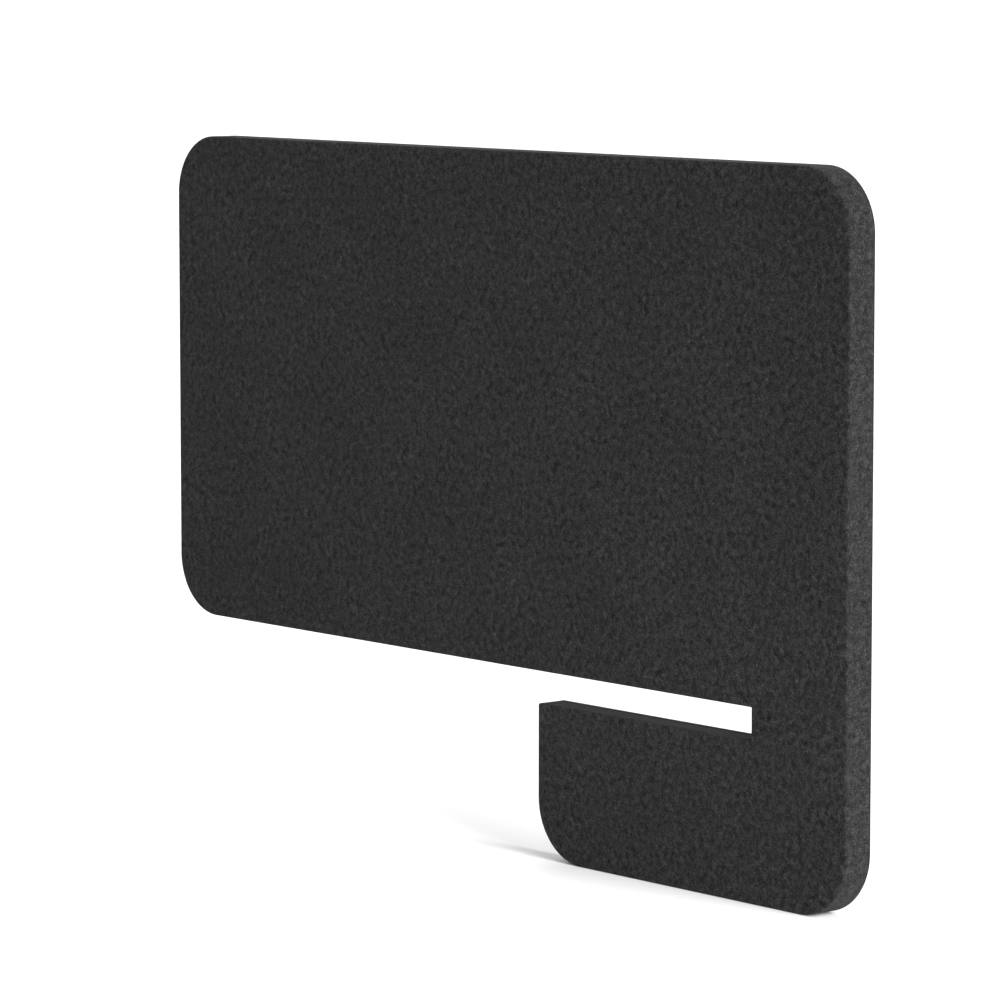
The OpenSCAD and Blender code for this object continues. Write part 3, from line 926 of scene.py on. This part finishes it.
def swell(piece, low, high):
    """Remeshes a pad, blows it up as cloth, writes the result into its mesh with one
    subdivision, and keeps it in its bay and clear of the corner blocks."""
    bpy.context.view_layer.objects.active = piece
    remesh = piece.modifiers.new("remesh", "REMESH")
    remesh.mode = "VOXEL"
    remesh.voxel_size = PAD_VOXEL * MM
    bpy.ops.object.modifier_apply(modifier=remesh.name)
    points = np.array([v.co for v in piece.data.vertices]) / MM
    cloth = piece.modifiers.new("cloth", "CLOTH")
    cloth.settings.use_pressure = True
    cloth.settings.uniform_pressure_force = PAD_PRESSURE
    cloth.settings.effector_weights.gravity = 0
    scene = bpy.context.scene
    for step in range(PAD_FRAMES):
        scene.frame_set(step + 1)
    swollen = piece.evaluated_get(bpy.context.evaluated_depsgraph_get())
    move = np.array([v.co for v in swollen.data.vertices]) / MM - points
    piece.modifiers.remove(cloth)
    scene.frame_set(1)
    size = np.linalg.norm(move, axis=1, keepdims=True)
    points += move * np.minimum(1, PAD_CAP / np.maximum(size, 1e-6))
    piece.data.vertices.foreach_set("co", (points * MM).ravel())
    finer = piece.modifiers.new("finer", "SUBSURF")
    finer.levels = 1
    bpy.ops.object.modifier_apply(modifier=finer.name)
    points = np.array([v.co for v in piece.data.vertices]) / MM
    # The swelling has drawn its sides in, so it is stretched to fill the bay again
    middle = (points.min(0) + points.max(0)) / 2
    grow = (high - low) / (points.max(0) - points.min(0))
    grow[1] = 1.0  # across the thickness the boards hold it
    points = (low + high) / 2 + (points - middle) * grow
    points = np.clip(points, low, high)
    # A point inside a corner block goes out by the nearer of the two sides facing the pad
    for block_low, block_high in map(node_box, BLOCKS):
        x_low, x_high = block_low[0] - PAD_CLEAR, block_high[0] + PAD_CLEAR
        z_low, z_high = block_low[2] - PAD_CLEAR, block_high[2] + PAD_CLEAR
        x, z = points[:, 0], points[:, 2]
        ways = np.column_stack([x - x_low, x_high - x, z - z_low, z_high - z])
        x_way = 1 if (low[0] + high[0]) / 2 > x_high else 0  # towards the pad's middle
        z_way = 3 if (low[2] + high[2]) / 2 > z_high else 2
        for i in np.flatnonzero((ways > 0).all(axis=1)):
            if ways[i, x_way] < ways[i, z_way]:
                points[i, 0] = (x_low, x_high)[x_way]
            else:
                points[i, 2] = (z_low, z_high)[z_way - 2]
    piece.data.vertices.foreach_set("co", (points * MM).ravel())
    piece.data.polygons.foreach_set("use_smooth", [True] * len(piece.data.polygons))
    piece.data.update()


pad("rear_infill", 601)
pad("front_infill", 611)
pad("leg_infill", 621)

# ---------------------------------------------------------------- finishes of the CAD nodes

FINISHES = {
    PLY_X: ["top_rail", "slot_upper_rail", "slot_lower_rail", "leg_bottom_rail",
            "top_rear_block", "top_front_block", "lower_rear_block", "leg_rear_block",
            "leg_front_block"],
    PLY_Z: ["rear_stile", "front_stile", "middle_stile", "leg_rear_stile", "slot_end_block"],
    ZINC: ["slot_liner", "liner_screws"],
}
for material, names in FINISHES.items():
    for name in names:
        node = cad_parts[name]
        for holder in node.material_slots:
            holder.material = material

# ---------------------------------------------------------------- sheets


def area_of(loop):
    """The area inside a closed loop, in square metres."""
    after = np.roll(loop, -1, axis=0)
    twice = np.sum(loop[:, 0] * after[:, 1] - loop[:, 1] * after[:, 0])
    return abs(twice) / 2 * MM * MM


def sheets():
    for felt_face, board in ((outer_felt, outer_board), (inner_felt, inner_board)):
        area_of(panel_loop(0.0)[0])
        area_of(panel_loop(FELT)[0])


sheets()

# ---------------------------------------------------------------- studio

FLOOR_HALF = 90.0  # metres
FLOOR_GAP = 0.0002  # metres, between the floor and the leg's lower edge
WORLD_AS_LIGHT = 0.52
WORLD_AS_BACKDROP = 0.97


def studio_floor():
    """A plain pale floor, just under the leg."""
    look = Look("studio_floor", Specular_IOR_Level=0.2)
    where = look.node("TexCoord", {}).outputs["Object"]
    cloud = look.noise(where, 0.35, 3.0)
    material = look.finish(look.mix(cloud, grey(0.86), grey(0.90)),
                           look.step(cloud, 0.2, 0.8, 0.8, 0.9),
                           look.noise(where, 0.002), 0.00005, 0.2)
    z = BOTTOM_Z * MM - FLOOR_GAP
    mesh = bpy.data.meshes.new("studio_floor")
    corners = [(-1, -1), (1, -1), (1, 1), (-1, 1)]
    mesh.from_pydata([(x * FLOOR_HALF, y * FLOOR_HALF, z) for x, y in corners], [],
                     [(0, 1, 2, 3)])
    mesh.materials.append(material)
    floor = bpy.data.objects.new("studio_floor", mesh)
    bpy.context.scene.collection.objects.link(floor)


def studio_world():
    """Even white light from all round, which the camera sees as a brighter backdrop."""
    world = bpy.data.worlds.new("studio")
    world.use_nodes = True
    nodes, links = world.node_tree.nodes, world.node_tree.links
    sky = nodes["Background"]
    sky.inputs["Color"].default_value = (1, 1, 1, 1)
    seen = nodes.new("ShaderNodeLightPath")
    strength = nodes.new("ShaderNodeMapRange")
    strength.inputs["To Min"].default_value = WORLD_AS_LIGHT
    strength.inputs["To Max"].default_value = WORLD_AS_BACKDROP
    links.new(seen.outputs["Is Camera Ray"], strength.inputs["Value"])
    links.new(strength.outputs["Result"], sky.inputs["Strength"])
    bpy.context.scene.world = world
    bpy.context.scene.view_settings.view_transform = "Standard"


def add_light(name, kind, energy):
    """A light that isn't placed yet."""
    lamp = bpy.data.objects.new(name, bpy.data.lights.new(name, kind))
    lamp.data.energy = energy
    bpy.context.scene.collection.objects.link(lamp)
    return lamp


def sun(name, strength, azimuth, elevation, spread):
    """A soft distant lamp. Azimuth is measured from +X towards +Y, in degrees."""
    lamp = add_light(name, "SUN", strength)
    lamp.data.angle = math.radians(spread)
    a, e = math.radians(azimuth), math.radians(elevation)
    towards = Vector((math.cos(a) * math.cos(e), math.sin(a) * math.cos(e), math.sin(e)))
    lamp.rotation_euler = towards.to_track_quat("Z", "Y").to_euler()


def panel_lamp(name, watts, size, place, aim):
    """A soft rectangular lamp that the camera doesn't see."""
    lamp = add_light(name, "AREA", watts)
    lamp.data.shape = "RECTANGLE"
    lamp.data.size, lamp.data.size_y = size
    lamp.location = place
    lamp.rotation_euler = (Vector(aim) - Vector(place)).to_track_quat("-Z", "Y").to_euler()
    lamp.visible_camera = False


studio_floor()
studio_world()
sun("key", 7.0, azimuth=-4, elevation=22, spread=35)
sun("back_fill", 1.0, azimuth=125, elevation=30, spread=60)
panel_lamp("low_fill", 3.0, size=(0.9, 0.3), place=(0.3, -0.6, -0.06), aim=(-0.05, 0.0, -0.1))
